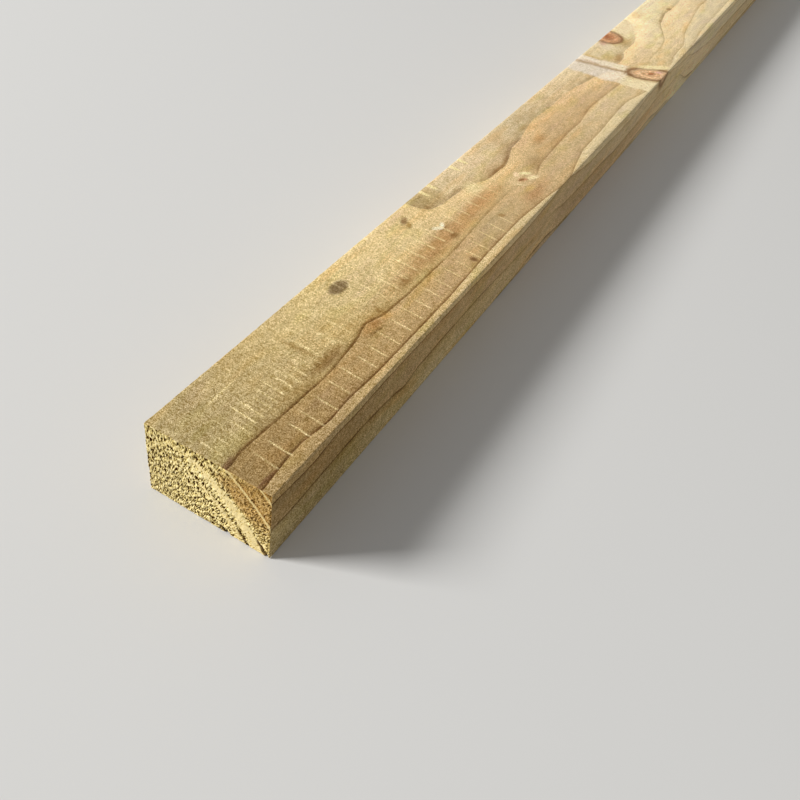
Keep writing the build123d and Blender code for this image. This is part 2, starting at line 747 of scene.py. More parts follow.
    def skin(self) -> Surface:
        """Lays the closed skin, with sharp edges and no relief yet.

        Returns:
            The skin.
        """
        skin = Surface()
        near = skin.add_points(self.loop(0.0, 2))
        self.cap(skin, 0.0, 2, near)
        for along, fineness in self.stations():
            far = skin.add_points(self.loop(along, fineness))
            if len(near) > 2 * len(far) or len(far) > 2 * len(near):
                raise ValueError(f"loops at {along} mm differ by more than one halving")
            self.band(skin, near, far)
            near = far
        far = skin.add_points(self.loop(self.stock.length, 1))
        self.band(skin, near, far)
        self.cap(skin, self.stock.length, 1, far)
        return skin

    def knot_depth(self, place: Array) -> tuple[Array, Array, Array]:
        """Finds how points lie to the nearest knot.

        Args:
            place: (along, across, down) points.

        Returns:
            The distance inside its rim, its redness, and a share that is 1 at its pith.
        """
        depth = np.full(len(place), -30.0)
        red = np.zeros(len(place))
        share = np.full(len(place), -30.0)
        for knot in self.knots:
            found = knot.inside(self.rings.heart, place)
            nearer = found > depth
            depth = np.where(nearer, found, depth)
            red = np.where(nearer, knot.depth_of_red, red)
            share = np.where(nearer, found / knot.half_short, share)
        return depth, red, share

    def end_share(self, place: Array) -> Array:
        """1 on the two cut ends and 0 elsewhere."""
        along = place[:, 0]
        return ((along <= 0.0) | (along >= self.stock.length)).astype(float)

    def pits(self, place: Array) -> Array:
        """Works out how deep the torn grain of the cut ends is.

        Args:
            place: (along, across, down) points.

        Returns:
            A share of the full depth at each point.
        """
        along, across, down = place.T
        radius = self.rings.heart.distance(across, down)
        turned = self.rings.heart.angle(across, down) * self.rings.heart.middling_ring
        side = np.where(along > 1.0, 40.0, 0.0)
        wide = LatticeNoise(3)(turned / 0.4, radius / 1.0, side)
        small = LatticeNoise(4)(turned / 0.26, radius / 0.5, side)
        number, _, _, late = self.rings.measure(place)
        dense = rise(across, 17.0, 28.0) * rise(number, 0.0, 0.1)
        firm = late * rise(across, 4.0, 20.0) * rise(number, -3.2, -0.6)
        depth = rise(0.8 * wide + 0.6 * small, -0.3, 0.6)
        return depth * (1.0 - 0.85 * firm) * (1.0 - 0.4 * dense)

    def relief(self, place: Array) -> Array:
        """Works out how far the surface lies below the block's faces, away from the cracks.

        Args:
            place: (along, across, down) points on the sharp block.

        Returns:
            The depth at each point.
        """
        along, across, down = place.T
        ends = self.end_share(place) > 0.5
        fine = 1.0 - rise(along, *self.ruck_fade)
        near = 1.0 - rise(along, *self.fuzz_fade)
        waves = self.wave * (1.0 + LatticeNoise(11)(along / 47.0, across / 15.0, down / 15.0))
        ruck = self.ruck * fine * (1.0 + LatticeNoise(12)(along / 2.6, across / 2.2, down / 2.2))
        fuzz = self.fuzz * near * (1.0 + LatticeNoise(13)(along / 1.3, across / 1.1, down / 1.1))
        stroke = along - self.tooth_lean * across
        teeth = 0.5 + 0.5 * np.cos(stroke * 2.0 * np.pi / self.tooth_pitch)
        teeth *= 0.5 + 0.5 * LatticeNoise(14)(along / 9.0, across / 5.0, down / 5.0)
        sawn = waves + ruck + fuzz + self.teeth * fine * teeth
        sawn += self.knot_sink * rise(self.knot_depth(place)[0], -0.2, 0.6)
        dish = self.dish * (1.0 + LatticeNoise(15)(across / 9.0, down / 9.0))
        grit = self.grit * (1.0 + LatticeNoise(16)(across / 0.7, down / 0.7, along))
        cut = dish + grit + self.pit_depth * self.pits(place)
        depth = np.where(ends, cut, sawn)
        depth[ends] -= depth[ends].min()
        depth[~ends] -= depth[~ends].min()
        return depth

    def pull_into_checks(self, place: Array, shaped: Array) -> Array:
        """Draws the near end's skin into the cracks, and the wood beside their mouths with it.

        Args:
            place: sharp places.
            shaped: the same points with eased edges and relief.

        Returns:
            The shaped points, moved along the grain.
        """
        along, across, down = place.T
        hollow = np.zeros(len(place))
        for check in self.checks:
            found = check.hollow(self.rings.heart, across, np.minimum(down, self.stock.thickness))
            hollow = np.maximum(hollow, found)
        share = np.clip(1.0 - along / self.check_pull, 0.0, 1.0)
        low = (down >= self.stock.thickness) | (along <= 0.0)
        moved = shaped.copy()
        moved[:, 0] += np.where(low, hollow * share, 0.0)
        return moved

    def build(self) -> bpy.types.Object:
        """Makes the batten's object, with the measures that its finishes read.

        Returns:
            The object.
        """
        skin = self.skin()
        place = np.concatenate(skin.places)
        shaped, out = self.stock.round_edges(place)
        depth = self.relief(place)
        shaped = self.pull_into_checks(place, shaped - out * depth[:, None])
        mesh = bpy.data.meshes.new("sawn_batten")
        mesh.from_pydata(self.stock.to_row(shaped).tolist(), [], skin.faces)
        mesh.polygons.foreach_set("material_index", skin.coats)
        mesh.polygons.foreach_set("use_smooth", [True] * len(skin.faces))
        number, width, firmness, late = self.rings.measure(place)
        knot, red, share = self.knot_depth(place)
        pits = np.where(self.end_share(place) > 0.5, self.pits(place), 0.0)
        measures = {
            "ring_number": number,
            "ring_width": width,
            "line_firmness": firmness,
            "knot_depth": knot,
            "knot_red": red,
            "knot_share": share,
            "torn_grain": pits,
            "late_wood": late,
        }
        for name, values in measures.items():
            layer = mesh.attributes.new(name, "FLOAT", "POINT")
            layer.data.foreach_set("value", values.astype(np.float32))
        self.piece = bpy.data.objects.new("sawn_batten", mesh)
        bpy.context.scene.collection.objects.link(self.piece)
        return self.piece

    def dress(self, sawn: bpy.types.Material, cut: bpy.types.Material) -> None:
        """Gives the sawn faces and the cut ends their finishes."""
        self.piece.data.materials.append(sawn)
        self.piece.data.materials.append(cut)


class Finish:
    """A material under construction, with short ways to add its nodes and link them."""

    def __init__(self, name: str) -> None:
        """Starts an empty material.

        Args:
            name: the material's name.
        """
        self.material = bpy.data.materials.new(name)
        self.material.use_nodes = True
        self.tree = self.material.node_tree
        self.tree.nodes.clear()

    def node(self, kind: str, *sources: object, **settings: object) -> bpy.types.Node:
        """Adds a node.

        Args:
            kind: its type.
            sources: what its first inputs take, in order.
            settings: its own settings.

        Returns:
            The node.
        """
        found = self.tree.nodes.new(kind)
        for name, value in settings.items():
            setattr(found, name, value)
        for socket, source in zip(found.inputs, sources):
            self.feed(socket, source)
        return found

    def feed(self, socket: Socket, source: object) -> None:
        """Links a socket to a source, or sets it where the source is a plain value.

        Args:
            socket: the input.
            source: what it takes.
        """
        if isinstance(source, bpy.types.NodeSocket):
            self.tree.links.new(source, socket)
        else:
            socket.default_value = source

    def math(self, operation: str, *sources: Number, clamp: bool = False) -> Socket:
        """One arithmetic step."""
        return self.node("ShaderNodeMath", *sources, operation=operation, use_clamp=clamp).outputs[0]

    def join(self, operation: str, sources: Sequence[Number]) -> Number:
        """Several values joined two by two with one arithmetic step."""
        return reduce(lambda found, source: self.math(operation, found, source), sources)

    def total(self, *sources: Number) -> Socket:
        """The sum of several values."""
        return self.join("ADD", sources)

    def times(self, *sources: Number) -> Socket:
        """The product of several values."""
        return self.join("MULTIPLY", sources)

    def less(self, first: Number, second: Number) -> Socket:
        """The first value less the second."""
        return self.math("SUBTRACT", first, second)

    def fit(self, value: Number, slope: Number, start: Number) -> Socket:
        """The value times a slope, plus a start."""
        return self.math("MULTIPLY_ADD", value, slope, start)

    def vary(self, share: Number, by: Number, slope: float, start: float) -> Socket:
        """A share made stronger and weaker by another value."""
        return self.times(share, self.fit(by, slope, start))

    def step(self, value: Number, low: float, high: float) -> Socket:
        """Smooth step from 0 at low to 1 at high, or from 1 to 0 where high is the lower.

        Args:
            value: what is stepped.
            low: where the step gives 0.
            high: where it gives 1.

        Returns:
            The step's socket.
        """
        down = high < low
        limits = (min(low, high), max(low, high), float(down), float(not down))
        return self.node("ShaderNodeMapRange", value, *limits, interpolation_type="SMOOTHSTEP").outputs[0]

    def window(self, value: Number, low: float, high: float, soft: float) -> Socket:
        """1 between low and high, with soft edges, and 0 outside."""
        begun = self.step(value, low - soft, low + soft)
        return self.times(begun, self.step(value, high + soft, high - soft))

    def measure(self, name: str) -> Socket:
        """One of the measures that the mesh holds."""
        return self.node("ShaderNodeAttribute", attribute_name=name).outputs["Fac"]

    def noise(
        self,
        place: tuple[Number, Number, Number],
        sizes: tuple[float, float, float],
        seed: float,
        detail: float = 2.0,
        roughness: float = 0.55,
    ) -> Socket:
        """Smooth noise about 0, mostly from -0.5 to 0.5.

        Args:
            place: the point's measures.
            sizes: how far one blob reaches along each of them.
            seed: a shift that makes this noise unlike others.
            detail: how many finer layers it has.
            roughness: how strong they are.

        Returns:
            The socket that gives the noise.
        """
        parts = [self.fit(part, 1.0 / size, seed) for part, size in zip(place, sizes)]
        point = self.node("ShaderNodeCombineXYZ", *parts).outputs[0]
        found = self.node("ShaderNodeTexNoise")
        inputs = {"Vector": point, "Scale": 1.0, "Detail": detail, "Roughness": roughness}
        for name, source in inputs.items():
            self.feed(found.inputs[name], source)
        return self.less(found.outputs["Fac"], 0.5)

    def chance(self, cell: Number, seed: float) -> Socket:
        """Draws a random value from 0 to 1 for each whole number.

        Args:
            cell: the whole number.
            seed: a shift that makes this draw unlike others.

        Returns:
            The value's socket.
        """
        place = self.total(cell, seed)
        found = self.node("ShaderNodeTexWhiteNoise", noise_dimensions="1D")
        self.feed(found.inputs["W"], place)
        return found.outputs["Value"]

    def colours(self, value: Number, stops: Sequence[tuple[float, Colour]]) -> Socket:
        """Runs a colour through stops, from the first place to the last.

        Args:
            value: the measure that picks the colour.
            stops: places with their colours, in rising order.

        Returns:
            The colour's socket.
        """
        first, last = stops[0][0], stops[-1][0]
        share = self.node("ShaderNodeMapRange", value, first, last, 0.0, 1.0)
        found = self.node("ShaderNodeValToRGB", share.outputs[0])
        ramp = found.color_ramp
        while len(ramp.elements) < len(stops):
            ramp.elements.new(1.0)
        for element, (at, colour) in zip(ramp.elements, stops):
            element.position = (at - first) / (last - first)
            element.color = colour
        return found.outputs[0]

    def ramp(self, value: Number, stops: Sequence[tuple[float, float]]) -> Socket:
        """A value from 0 to 1 that runs through these (place, value) stops."""
        grey = self.colours(value, [(at, (level, level, level, 1.0)) for at, level in stops])
        return self.node("ShaderNodeSeparateColor", grey).outputs[0]

    def blend(self, low: object, high: object, share: Number, way: str = "MIX") -> Socket:
        """Lays one colour over another.

        Args:
            low: the colour underneath.
            high: the colour on top.
            share: how far it covers, from 0 to 1.
            way: how the two are mixed.

        Returns:
            The mixed colour's socket.
        """
        found = self.node("ShaderNodeMix", data_type="RGBA", blend_type=way, clamp_factor=True)
        self.feed(found.inputs["Factor"], share)
        self.feed(found.inputs[6], low)
        self.feed(found.inputs[7], high)
        return found.outputs[2]

    def dim(self, colour: object, share: Number, tint: object) -> Socket:
        """A colour multiplied towards a tint."""
        return self.blend(colour, tint, share, "MULTIPLY")

    def lift(self, colour: object, parts: Sequence[Number]) -> Socket:
        """A colour whose red, green and blue are multiplied by these three values."""
        return self.dim(colour, 1.0, self.node("ShaderNodeCombineColor", *parts).outputs[0])

    def shade(self, colour: object, by: Number, slope: float, start: float = 1.0) -> Socket:
        """A colour made lighter and darker by a value."""
        return self.lift(colour, 3 * [self.fit(by, slope, start)])

    def finish(
        self,
        colour: object,
        roughness: float,
        shine: float,
        height: Socket | None = None,
        reach: float = 0.0,
    ) -> bpy.types.Material:
        """Joins the colour and the fine relief to the shader.

        Args:
            colour: the surface's colour.
            roughness: how matte it is.
            shine: its specular level.
            height: its fine relief, from 0 to 1, if it has any.
            reach: how high that relief is, in millimetres.

        Returns:
            The finished material.
        """
        shader = self.node("ShaderNodeBsdfPrincipled")
        if height is not None:
            bump = self.node("ShaderNodeBump")
            for name, source in {"Strength": 1.0, "Distance": reach * MM, "Height": height}.items():
                self.feed(bump.inputs[name], source)
            self.feed(shader.inputs["Normal"], bump.outputs[0])
        inputs = {"Base Color": colour, "Roughness": roughness, "Specular IOR Level": shine}
        for name, source in inputs.items():
            self.feed(shader.inputs[name], source)
        self.node("ShaderNodeOutputMaterial", shader.outputs[0])
        return self.material


class WoodFinish(Finish):
    """A finish of the batten, which knows where in the wood the shaded point lies."""

    def __init__(self, name: str, stock: Stock) -> None:
        """Starts the material, and reads the point's measures from the object's own coordinates.

        Args:
            name: the material's name.
            stock: the batten's size and frame.
        """
        super().__init__(name)
        found = self.node("ShaderNodeTexCoord").outputs["Object"]
        parts = self.node("ShaderNodeSeparateXYZ", found).outputs
        self.along = self.fit(parts[0], 1.0 / MM, -stock.low.x / MM)
        self.across = self.fit(parts[1], -1.0 / MM, stock.high.y / MM)
        self.down = self.fit(parts[2], -1.0 / MM, stock.high.z / MM)

    def patches(
        self, long: float, wide: float, seed: float, detail: float = 2.0, roughness: float = 0.55
    ) -> Socket:
        """Noise in patches of this length with the grain and this width across it."""
        place = self.along, self.across, self.down
        return self.noise(place, (long, wide, wide), seed, detail, roughness)


@dataclass(frozen=True)
class Mark:
    """A stain, a smudge or a painted shadow on the top face, which darkens the wood.

    Attributes:
        along: its middle.
        across: the same, across the face.
        half_along: half its length with the grain.
        half_across: half its width across it.
        tint: its screen colour, as white wood would show it.
        strength: how much of that colour it has.
        soft: share of its size over which it fades.
        ragged: how far its outline wanders, as a share of its size.
        turn: angle of its length from the grain, in degrees, towards the right arris.
        ruffle: how far the noise moves the outline where ragged is 1.
    """

    along: float
    across: float
    half_along: float
    half_across: float
    tint: Tone
    strength: float = 0.8
    soft: float = 0.7
    ragged: float = 0.5
    turn: float = 0.0
    ruffle: ClassVar[float] = 2.6

    def way(self, finish: WoodFinish, turn: float, half: float) -> Socket:
        """Measures the distance from the mark's middle in one direction.

        Args:
            finish: the material under construction.
            turn: the direction, in radians from the grain.
            half: the mark's half size in that direction.

        Returns:
            The distance as a share of the half size.
        """
        ahead, aside = math.cos(turn) / half, math.sin(turn) / half
        start = -(self.along * ahead + self.across * aside)
        return finish.fit(finish.along, ahead, finish.fit(finish.across, aside, start))

    def lay(self, finish: WoodFinish, colour: Socket, top: Socket, wander: Socket) -> Socket:
        """Puts this mark on the wood's colour.

        Args:
            finish: the material under construction.
            colour: the wood's colour.
            top: 1 on the top face.
            wander: noise that ruffles the mark's outline.

        Returns:
            The marked colour.
        """
        turn = math.radians(self.turn)
        long_way = self.way(finish, turn, self.half_along)
        short_way = self.way(finish, turn + math.pi / 2.0, self.half_across)
        square = finish.fit(long_way, long_way, finish.times(short_way, short_way))
        reach = finish.fit(wander, self.ruffle * self.ragged, finish.math("SQRT", square))
        share = finish.times(finish.step(reach, 1.0 + self.soft, 1.0 - self.soft), self.strength, top)
        return self.colour(finish, colour, share)

    def colour(self, finish: WoodFinish, wood: Socket, share: Socket) -> Socket:
        """The wood's colour, darkened towards the tint."""
        return finish.dim(wood, share, linear(*self.tint))


@dataclass(frozen=True)
class PaleMark(Mark):
    """A mark that covers the wood with its tint in place of darkening it."""

    def colour(self, finish: WoodFinish, wood: Socket, share: Socket) -> Socket:
        """The wood's colour, covered by the tint."""
        return finish.blend(wood, linear(*self.tint), share)


@dataclass(frozen=True)
class SawLines:
    """A row of fine pale lines that the saw's teeth left across the top face.

    Attributes:
        pitch: distance from one line to the next.
        low: where the row starts, across the face.
        high: where it ends.
        first: where it starts along the batten.
        last: where it ends.
        strength: how pale the lines are.
        slant: how far they lean along the grain for each millimetre across.
        half_width: half a line's width.
        uneven: how far short a line may start, as a share of the row's width.
    """

    pitch: float
    low: float
    high: float
    first: float
    last: float
    strength: float
    slant: float = -0.07
    half_width: float = 0.24
    uneven: float = 0.5

    def share(self, finish: WoodFinish) -> Socket:
        """Works out how much of the shaded point is covered by a line.

        Args:
            finish: the material under construction.

        Returns:
            A share from 0 to 1.
        """
        seed = self.pitch * 7.0 + self.low
        wander = finish.patches(6.0, 4.0, seed=seed, detail=1.0)
        lean = finish.fit(finish.across, -self.slant, finish.along)
        phase = finish.times(finish.fit(wander, 0.5, lean), 1.0 / self.pitch)
        cell = finish.math("FLOOR", phase)
        spot = finish.fit(finish.chance(cell, seed), 0.2, 0.4)
        aside = finish.math("ABSOLUTE", finish.less(finish.math("FRACT", phase), spot))
        line = finish.step(finish.times(aside, self.pitch), self.half_width * 1.8, self.half_width * 0.2)
        broken = finish.patches(0.9, 0.9, seed=seed + 1.0, roughness=0.7)
        line = finish.times(line, finish.step(broken, -0.4, 0.08))
        span = self.high - self.low
        start = finish.fit(finish.chance(cell, seed + 3.0), self.uneven * span, self.low)
        end = finish.fit(finish.chance(cell, seed + 5.0), -0.12 * span, self.high)
        begun = finish.step(finish.less(finish.across, start), -0.8, 1.6)
        over = finish.step(finish.less(finish.across, end), 0.5, -0.4)
        stretch = finish.window(finish.along, self.first, self.last, 4.0)
        weight = finish.fit(finish.chance(cell, seed + 9.0), 0.5, 0.5)
        return finish.times(line, begun, over, stretch, weight, self.strength)


@dataclass(frozen=True)
class YearTones:
    """Colour of one year's wood along the batten, as (along, screen colour) stops. It is partly the
    wood's own tone and partly painted light: the far stops are raised to make up for the lamp's light
    falling off along the batten.
    """

    after_ring: int
    stops: tuple[tuple[float, Tone], ...]

    def build(self, finish: WoodFinish) -> Socket:
        """The year's colour at the shaded point."""
        return finish.colours(finish.along, [(at, linear(*tone)) for at, tone in self.stops])


# The far stops are partly painted light: they are raised towards 255 to make up for the lamp's light
# falling off along the batten.
YEARS = (
    YearTones(-9, (
        (0, (190, 168, 118)), (60, (200, 178, 128)), (140, (246, 225, 181)), (172, (234, 206, 160)),
        (207, (233, 214, 173)), (245, (255, 231, 186)), (302, (236, 214, 168)), (318, (240, 218, 172)),
        (334, (255, 236, 188)), (350, (255, 235, 187)), (430, (240, 217, 169)), (2400, (232, 208, 158)),
    )),
    YearTones(0, (
        (0, (182, 160, 110)), (12, (184, 161, 111)), (35, (197, 172, 118)), (59, (213, 188, 131)),
        (95, (227, 201, 145)), (142, (225, 195, 141)), (207, (212, 179, 130)), (245, (217, 184, 135)),
        (290, (232, 200, 149)), (323, (243, 216, 165)), (352, (255, 234, 186)), (385, (255, 236, 188)),
        (430, (238, 212, 162)), (2400, (231, 206, 155)),
    )),
    YearTones(1, (
        (0, (160, 131, 83)), (9, (162, 133, 85)), (35, (175, 144, 93)), (83, (197, 165, 113)),
        (145, (209, 176, 126)), (207, (213, 184, 136)), (245, (224, 197, 150)), (322, (232, 206, 156)),
        (380, (254, 227, 178)), (430, (236, 210, 161)), (2400, (228, 203, 153)),
    )),
    YearTones(2, (
        (0, (174, 146, 97)), (16, (177, 148, 99)), (60, (198, 170, 119)), (100, (216, 189, 137)),
        (245, (228, 206, 160)), (380, (236, 215, 171)), (2400, (228, 206, 158)),
    )),
)


@dataclass(frozen=True)
class UntreatedBand:
    """Two pale stripes across the top that the treatment did not reach, with a seam between them.

    Attributes:
        lean: how far the near stripe's edges run back along the grain for each millimetre across.
        steep: the same for the seam and the far stripe.
        upper: where across the face the far stripe and the seam have ended, and where they start to.
        first: (start, end) ramps of the near stripe's two edges, left of that place.
        low: the same for its lower part, right of it.
        second: where the far stripe starts and ends.
        seam: where the seam runs.
        creams: colours of the near stripe on the left and on the right.
        pales: the same for the far stripe.
        seam_tint: colour of the seam.
    """

    lean: float = -0.15
    steep: float = -0.25
    upper: tuple[float, float] = (23.5, 20.5)
    first: tuple[tuple[float, float], tuple[float, float]] = ((269.8, 272.4), (283.6, 282.4))
    low: tuple[tuple[float, float], tuple[float, float]] = ((270.6, 271.8), (284.6, 282.4))
    second: tuple[float, float] = (283.0, 290.2)
    seam: float = 282.7
    creams: tuple[Colour, Colour] = (linear(240, 225, 203), linear(254, 234, 187))
    pales: tuple[Colour, Colour] = (linear(244, 227, 207), linear(255, 238, 208))
    seam_tint: Colour = linear(212, 197, 178)

    def lay(self, finish: WoodFinish, colour: Socket, top: Socket) -> Socket:
        """Puts the stripes on the wood's colour.

        Args:
            finish: the material under construction.
            colour: the wood's colour.
            top: 1 on the top face.

        Returns:
            The colour with the stripes.
        """
        ragged = finish.patches(4.5, 3.6, seed=12.0, detail=3.0)
        lean = finish.fit(ragged, 3.4, finish.along)
        place = finish.fit(finish.across, self.lean, lean)
        steep = finish.fit(finish.across, self.steep, lean)
        upper = finish.step(finish.across, *self.upper)
        first = finish.times(finish.step(place, *self.first[0]), finish.step(steep, *self.first[1]))
        begun, over = (finish.step(place, *edge) for edge in self.low)
        low = finish.times(begun, over, finish.less(1.0, upper))
        second = finish.times(finish.window(steep, *self.second, 0.7), upper)
        cream = finish.blend(*self.creams, finish.step(finish.across, 18.0, 27.0))
        cream = finish.shade(cream, finish.patches(5.0, 3.0, seed=13.0, detail=3.0), 0.36)
        first = finish.math("MAXIMUM", finish.times(first, upper), low)
        colour = finish.blend(colour, cream, finish.times(first, top, 0.85))
        pale = finish.blend(*self.pales, finish.step(finish.across, 5.0, 13.0))
        colour = finish.blend(colour, pale, finish.times(second, top, 0.8))
        seam = finish.math("ABSOLUTE", finish.less(steep, self.seam))
        seam = finish.times(finish.step(seam, 2.9, 0.1), upper, top)
        return finish.dim(colour, seam, self.seam_tint)


class SawnFace(WoodFinish):
    """Finish of the four long faces: green-treated softwood, dry, straight from the saw."""

    other_year: Colour = linear(232, 226, 218)
    amber: Colour = linear(255, 245, 229)
    grey: Colour = linear(249, 246, 254)
    olive: Colour = linear(247, 249, 232)
    late: Colour = linear(214, 204, 186)
    dusk: Colour = linear(228, 218, 200)
    stale: Colour = linear(230, 220, 206)
    edge: Colour = linear(182, 159, 128)
    knot_pale: Colour = linear(250, 214, 166)
    knot_deep: Colour = linear(222, 164, 118)
    knot_ring: Colour = linear(226, 196, 160)
    knot_outer: Colour = linear(186, 136, 96)
    knot_heart: Colour = linear(206, 170, 150)
    knot_rim: Colour = linear(142, 104, 66)
    knot_glow: Colour = linear(226, 208, 172)
    saw_line: Colour = linear(246, 222, 162)
    # Shares of the painted fibre highlights and shade in red, green and blue.
    painted_fibre_shade_shares: tuple[float, float, float] = (0.88, 1.02, 1.5)

    def build(self) -> bpy.types.Material:
        """Makes the finish.

        Returns:
            The finished material.
        """
        top = self.step(self.down, 0.9, 0.45)
        ragged = self.patches(2.4, 0.9, seed=1.0, detail=3.0)
        number = self.fit(ragged, 0.035, self.measure("ring_number"))
        colour = self.late_wood(number, self.clouds(self.year_tone(number)))
        colour = self.branch_wood(UntreatedBand().lay(self, colour, top))
        wander = self.patches(1.5, 1.2, seed=17.0, detail=4.0, roughness=0.7)
        for mark in TOP_MARKS:
            colour = mark.lay(self, colour, top, wander)
        lines = self.times(self.total(*(row.share(self) for row in SAW_ROWS)), top)
        colour = self.blend(colour, self.saw_line, lines)
        fuzz = self.patches(0.3, 0.25, seed=8.0, detail=1.0, roughness=1.0)
        hatch = self.patches(0.5, 2.6, seed=9.0, detail=3.0, roughness=0.6)
        # Painted highlights and shade of the raised fibres, from the same noise as the fine bump.
        colour = self.painted_fibre_shade(colour, fuzz, hatch, ragged)
        height = self.fit(fuzz, 0.8, self.fit(hatch, 0.4, 0.5))
        return self.finish(colour, roughness=0.88, shine=0.22, height=height, reach=0.2)

    def year_tone(self, number: Socket) -> Socket:
        """Colours each year's wood, which brightens away from the near end, partly in its own tone and
        partly as painted light that makes up for the lamp's falloff along the batten.

        Args:
            number: the ring number.

        Returns:
            The wood's colour.
        """
        colour = YEARS[0].build(self)
        for year in YEARS[1:]:
            past = self.step(number, year.after_ring - 0.012, year.after_ring + 0.012)
            colour = self.blend(colour, year.build(self), past)
        each = self.chance(self.math("FLOOR", number), 2.0)
        inner = self.step(number, 0.0, -0.02)
        colour = self.dim(colour, self.times(each, inner), self.other_year)
        young = self.times(self.math("FRACT", number), self.measure("ring_width"))
        fresh = self.times(self.step(young, 2.4, 0.3), self.step(number, 0.0, 0.02))
        first = self.times(self.step(self.along, 110.0, 170.0), self.step(number, 1.0, 0.98))
        fresh = self.vary(fresh, first, 0.13, 0.08)
        return self.shade(colour, fresh, 1.0)

    def clouds(self, colour: Socket) -> Socket:
        """Lays slow changes of colour: amber, olive and grey patches, and streaks with the grain.

        Args:
            colour: the wood's colour.

        Returns:
            The colour with them.
        """
        amber = self.patches(22.0, 5.0, seed=2.0, detail=1.0)
        olive = self.patches(17.0, 6.0, seed=3.0, detail=1.0)
        cloud = self.patches(7.0, 3.2, seed=4.0, detail=3.0)
        streak = self.patches(34.0, 0.9, seed=5.0)
        colour = self.dim(colour, self.step(amber, 0.0, 0.3), self.amber)
        colour = self.dim(colour, self.step(amber, 0.0, -0.3), self.grey)
        colour = self.dim(colour, self.step(olive, 0.02, 0.26), self.olive)
        return self.shade(self.shade(colour, cloud, 0.42, 1.02), streak, 0.22, 1.01)

    def late_wood(self, number: Socket, colour: Socket) -> Socket:
        """Lays the soft shade before each year's edge, and the thin dark edge itself.

        Args:
            number: the ring number.
            colour: the wood's colour.

        Returns:
            The colour with the year's edges.
        """
        width = self.measure("ring_width")
        firmness = self.measure("line_firmness")
        before = self.times(self.less(1.0, self.math("FRACT", number)), width)
        patchy = self.patches(9.0, 3.0, seed=6.0, detail=3.0)
        shade = self.ramp(before, [(0.0, 1.0), (0.4, 0.8), (0.9, 0.4), (1.5, 0.15), (2.4, 0.0)])
        shade = self.vary(self.vary(shade, patchy, 1.3, 0.86), firmness, 0.7, 0.3)
        colour = self.dim(colour, shade, self.late)
        dusk = self.times(self.step(number, 0.32, 0.82), self.step(number, 1.0, 0.98))
        dusk = self.times(dusk, self.window(self.along, 16.0, 120.0, 14.0))
        colour = self.dim(colour, self.vary(dusk, patchy, 1.6, 0.7), self.dusk)
        stale = self.times(self.step(before, 2.2, 0.4), self.step(number, 0.03, -0.01))
        stale = self.times(stale, self.window(self.along, 119.0, 292.0, 9.0))
        colour = self.dim(colour, self.vary(stale, patchy, 2.0, 0.6), self.stale)
        edge = self.times(self.step(before, 0.62, 0.2), firmness, firmness)
        return self.dim(colour, self.vary(edge, patchy, 1.4, 0.85), self.edge)

    def branch_wood(self, colour: Socket) -> Socket:
        """Lays the knots: denser, redder wood with a dark rim and a small pith.

        Args:
            colour: the wood's colour.

        Returns:
            The colour with the knots.
        """
        red = self.measure("knot_red")
        ragged = self.patches(1.9, 1.9, seed=15.0, detail=4.0, roughness=0.65)
        depth = self.fit(ragged, 1.1, self.measure("knot_depth"))
        share = self.fit(ragged, 0.2, self.measure("knot_share"))
        wood = self.blend(self.knot_pale, self.knot_deep, red)
        rings = self.math("SINE", self.times(depth, 3.2))
        wood = self.dim(wood, self.times(self.step(rings, -0.4, 1.0), 0.4), self.knot_ring)
        wood = self.shade(wood, self.patches(1.6, 1.6, seed=16.0, detail=3.0, roughness=0.65), 1.4)
        wood = self.dim(wood, self.times(self.step(share, 0.74, 0.94), 0.6), self.knot_outer)
        wood = self.dim(wood, self.times(self.step(share, 0.3, 0.75), red), self.knot_heart)
        wood = self.blend(wood, self.knot_rim, self.times(self.step(depth, 2.9, 0.1), 0.9))
        glow = self.times(self.step(depth, -3.2, -0.2), 0.5)
        return self.blend(self.dim(colour, glow, self.knot_glow), wood, self.step(depth, -1.3, 0.6))

    def painted_fibre_shade(self, colour: Socket, fuzz: Socket, hatch: Socket, mottle: Socket) -> Socket:
        """Lays painted highlights on the raised fibres and painted shade between them, coarser and duller
        near the end.

        Args:
            colour: the wood's colour.
            fuzz: the finest noise.
            hatch: noise in short strokes across the grain.
            mottle: noise in small patches.

        Returns:
            The colour with the fibres.
        """
        near = self.fit(self.step(self.along, 170.0, 10.0), 0.85, 1.05)
        tufts = self.patches(0.8, 0.6, seed=10.0, detail=1.0)
        light = self.total(self.times(fuzz, 2.2), self.times(hatch, 0.7))
        light = self.fit(mottle, 0.3, self.fit(tufts, 0.4, light))
        light = self.math("MAXIMUM", self.times(light, near), -0.5)
        return self.lift(colour, [self.fit(light, share, 1.0) for share in self.painted_fibre_shade_shares])


